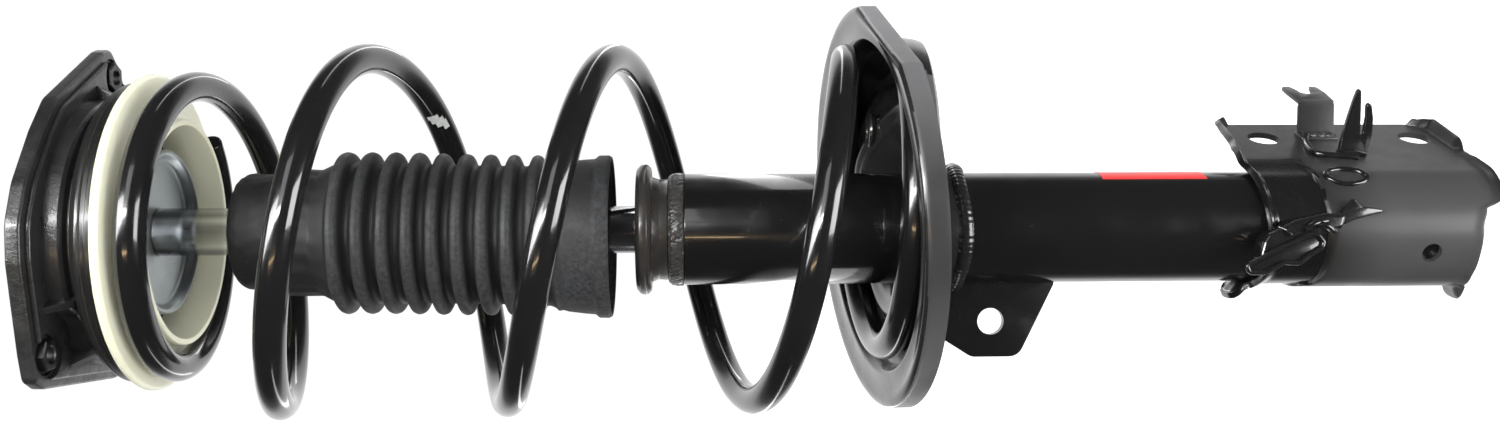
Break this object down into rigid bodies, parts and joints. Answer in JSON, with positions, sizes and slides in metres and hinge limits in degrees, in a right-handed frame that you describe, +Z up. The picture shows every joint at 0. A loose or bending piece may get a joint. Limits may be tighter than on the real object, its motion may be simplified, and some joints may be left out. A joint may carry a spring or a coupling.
{
  "type": "suspension strut assembly",
  "caption": "Loaded suspension strut: lobed top mount with bearing, nylon spring seat, coil spring, bellows boot on a chrome rod, damper tube with lower seat, and slotted knuckle bracket.",
  "frame": {"origin": "centre of the tower mounting face, on the damper axis", "axes": "+Z up the damper axis out of the tower face; +X from the damper axis to the knuckle bolts; Y parallel to the knuckle bolts"},
  "size_m": [0.1995, 0.192, 0.664],
  "materials": {
    "cast_black": "black electrocoat over a rough casting, satin",
    "steel_dark": "dark phosphate",
    "rubber_black": "matt, slightly dusty",
    "steel_plain": "plain machined",
    "zinc": "bright zinc plate",
    "plastic_black": "smooth moulded, satin",
    "nylon_cream": "natural nylon, satin",
    "gloss_black": "gloss black powder coat",
    "chrome": "hard chrome, ground and polished",
    "bronze_dark": "dark satin",
    "aluminium": "sintered, plain",
    "satin_black": "semi-gloss black paint"
  },
  "bodies": {
    "strut_body": {"strut_tube": "gloss_black", "tube_cap": "bronze_dark", "rolled_band": "gloss_black", "rod_seal": "rubber_black", "rod_guide": "aluminium", "pressure_tube": "steel_plain", "base_valve": "steel_plain", "tube_end_cap": "gloss_black", "lower_spring_seat": "gloss_black", "seat_weld": "gloss_black", "stabiliser_link_tab": "gloss_black", "knuckle_bracket": "satin_black", "sensor_cable_bracket": "satin_black", "forked_clip": "gloss_black", "hose_bracket": "gloss_black"},
    "upper_seat": {"upper_spring_seat": "nylon_cream", "bearing_lower_race": "steel_plain", "coil_spring": "gloss_black"},
    "top_mount": {"mount_housing": "cast_black", "captive_nuts": "steel_dark", "mount_rubber": "rubber_black", "inner_sleeve": "steel_plain", "upper_washer": "zinc", "rod_nut": "zinc", "lower_plate": "zinc", "bearing_cover": "plastic_black", "bearing_upper_race": "steel_plain", "bearing_balls": "steel_plain", "piston_rod": "chrome", "rebound_stop": "steel_plain", "piston": "steel_plain", "piston_ring": "plastic_black", "piston_nut": "zinc"},
    "boot": {"dust_boot": "rubber_black", "bump_stop": "rubber_black"}
  },
  "joints": [
    {"name": "damper_stroke", "type": "slide", "parent": "strut_body", "child": "upper_seat", "axis": [0, 0, 1], "range_m": [-0.105, 0], "stiffness_N_per_m": 25000, "deforming": ["coil_spring"]},
    {"name": "steering_bearing", "type": "hinge", "parent": "upper_seat", "child": "top_mount", "pos_m": [0, 0, -0.029], "axis": [0, 0, 1], "range_deg": [-40, 40]},
    {"name": "boot_slide", "type": "slide", "parent": "top_mount", "child": "boot", "axis": [0, 0, 1], "range_m": [0, 0.028]}
  ]
}
